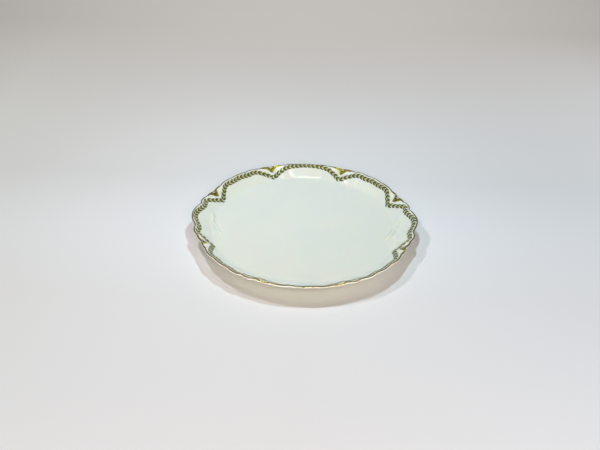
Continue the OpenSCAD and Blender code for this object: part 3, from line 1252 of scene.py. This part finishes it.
@dataclass
class Studio:
    """Pale table, soft lamps overhead and the even light of the room.

    Lengths are in metres. The glows make up to the viewer for the lamps' fall-off over the table.
    """

    table_half: float = 4.0
    room_share: float = 0.11
    room_back: float = 0.9
    room_color: Color = (0.95, 1.0, 1.0)
    horizon: Color = (0.72, 0.73, 0.73)
    ceiling: Color = (0.40, 0.41, 0.41)
    table_color: Color = (0.738, 0.768, 0.785)
    shaded_back_color: Color = (0.708, 0.725, 0.72)
    far_glow: Color = (1.12, 1.04, 0.97)
    side_glow: Color = (0.22, 0.235, 0.215)
    right_glow: Color = (0.095, 0.115, 0.17)
    near_glow: Color = (0.36, 0.54, 0.75)
    glow_start: float = 0.1
    far_stop: float = 0.8
    near_stop: float = 0.3
    far_bend: float = 0.7
    side_rate: float = 6.25
    right_rate: float = 2.5
    fade_rate: float = 2.0
    lamps: tuple[Lamp, ...] = (
        Lamp("key_lamp", (0.039, 0.068, 0.395), 0.014, 0.010, 0.39, (0.80, 1.03, 1.16)),
        Lamp("key_glint", (0.012, 0.048, 0.42), 0.1, 0.012, 0.04, glint=True),
        Lamp("side_lamp", (-0.20, 0.047, 0.42), 0.012, 0.012, 0.27, (1.05, 0.98, 1.03)),
        Lamp("side_glint", (-0.154, 0.124, 0.42), 0.02, 0.02, 0.025, glint=True),
        Lamp("front_fill", (0.05, -0.73, 0.46), 0.5, 0.2, 0.24, (1.18, 0.90, 0.70)),
        Lamp("low_front_card", (0.02, -0.73, 0.012), 0.6, 0.02, 0.00065, (1.10, 0.97, 0.84), spread=30.0),
    )

    def table(self) -> Object:
        """Flat pale table. Its glows are seen by the camera and mirrored rays only, so they light nothing.

        Past a line behind the plate's centre, the far share is f times 1 - bend f, f being the distance
        past it, and falls by the same bend times the square of X. The near share is the distance in front
        of such a line before the centre. The side share grows with the square of X and the right one with
        X, and both fade with f. All are held beyond the part that the picture shows. Behind the plate's
        middle the table's colour eases into a darker one, painted shade that tempers the lamps' light there.

        Returns:
            The table.
        """
        shade = Shader("pale_table")
        x, y, _ = shade.axes(shade.place())
        square = shade.times(x, x)
        past = shade.held(shade.minus(y, self.glow_start), 0.0, self.far_stop)
        far = shade.times(past, shade.minus(1.0, shade.times(past, self.far_bend)))
        sideways = shade.math("MINIMUM", square, 1.0)
        far = shade.times(far, shade.minus(1.0, shade.times(sideways, self.far_bend)))
        near = shade.held(shade.minus(-self.glow_start, y), 0.0, self.near_stop)
        fade = shade.math("MAXIMUM", shade.minus(1.0, shade.times(past, self.fade_rate)), 0.0)
        side = shade.times(shade.math("MINIMUM", shade.times(square, self.side_rate), 1.0), fade)
        right = shade.times(shade.held(shade.times(x, self.right_rate), 0.0, 1.0), fade)
        glow = shade.scaled(self.far_glow, far)
        for color, share in ((self.near_glow, near), (self.side_glow, side), (self.right_glow, right)):
            glow = shade.added(glow, shade.scaled(color, share))
        # Painted shade: the table is darker from just behind the plate's middle, where the lamps light it
        # most.
        color = shade.blend(shade.spread(y, -0.02, 0.13), self.table_color, self.shaded_back_color)
        shade.set(Base_Color=color, Roughness=0.75, IOR=1.3)
        shade.set(Emission_Color=glow, Emission_Strength=shade.seen())
        h = self.table_half / MM
        corners = np.array([[-h, -h, 0.0], [h, -h, 0.0], [h, h, 0.0], [-h, h, 0.0]])
        table = new_piece("table", corners, [np.array([[0, 1, 2, 3]])], shade.material)
        return table

    def hang(self, lamp: Lamp) -> Object:
        """Hangs one lamp, aimed at the plate.

        Its power is its share times pi squared times the square of its distance, over the cosine at which
        its light meets the table.

        Args:
            lamp: the lamp.

        Returns:
            The lamp's object.
        """
        place = Vector(lamp.place)
        data = bpy.data.lights.new(lamp.name, "AREA")
        data.shape, data.size, data.size_y, data.color = "RECTANGLE", lamp.length, lamp.width, lamp.color
        data.energy = lamp.share * math.pi**2 * place.length_squared / (place.z / place.length)
        data.spread = math.radians(lamp.spread)
        light = bpy.data.objects.new(lamp.name, data)
        light.visible_glossy = lamp.glint
        light.location = place
        light.rotation_euler = (-place).to_track_quat("-Z", "Y").to_euler()
        bpy.context.scene.collection.objects.link(light)
        return light

    def room(self) -> None:
        """Even light, stronger from behind, and the plain backdrop that the camera and reflections see.

        The light from a direction is the room's share times 1 plus its Y times the bias to the back. The
        backdrop goes from the horizon's colour to the ceiling's with the square root of its height.
        """
        world = bpy.data.worlds.new("room")
        world.use_nodes = True
        room = Graph(world.node_tree)
        _, back, up = room.axes(room.node("TexCoord", {}).outputs["Generated"])
        strength = room.plus(room.times(back, self.room_back * self.room_share), self.room_share)
        height = room.math("POWER", room.math("MAXIMUM", up, 0.0), 0.5)
        backdrop = room.blend(height, self.horizon, self.ceiling)
        light = room.node("Background", {"Color": self.room_color, "Strength": strength}).outputs[0]
        shown = room.node("Background", {"Color": backdrop}).outputs[0]
        surface = room.node("MixShader", {0: room.seen(), 1: light, 2: shown}).outputs[0]
        room.node("OutputWorld", {"Surface": surface})
        bpy.context.scene.world = world

    def build(self) -> None:
        """Lays the table, hangs the lamps and lights the room."""
        self.table()
        for lamp in self.lamps:
            self.hang(lamp)
        self.room()
        bpy.context.scene.view_settings.view_transform = "Standard"


def main() -> None:
    """Builds the plate piece by piece, then the studio and the camera."""
    logging.basicConfig(level=logging.INFO, format="%(name)s: %(message)s")
    form = PlateForm()
    seat(GlazedBody(form).build(), "plate_body")
    seat(GoldEdgeLine(form).build(), "edge_gilding")
    gilding = NotchGilding(form)
    gold = gilding.finish.material()
    garland = Garland(form)
    leaf, stem = garland.leaf_finish.material(), garland.stem_finish.material()
    for number, turn in enumerate(form.notches(), start=1):
        seat(gilding.build(number, float(turn), gold), f"notch_gilding_{number}")
        seat(garland.stem(number, stem), f"garland_stem_{number}")
        seat(garland.leaves(number, leaf), f"garland_leaves_{number}")
    Studio().build()
    Viewpoint().build()


if __name__ == "__main__":
    main()
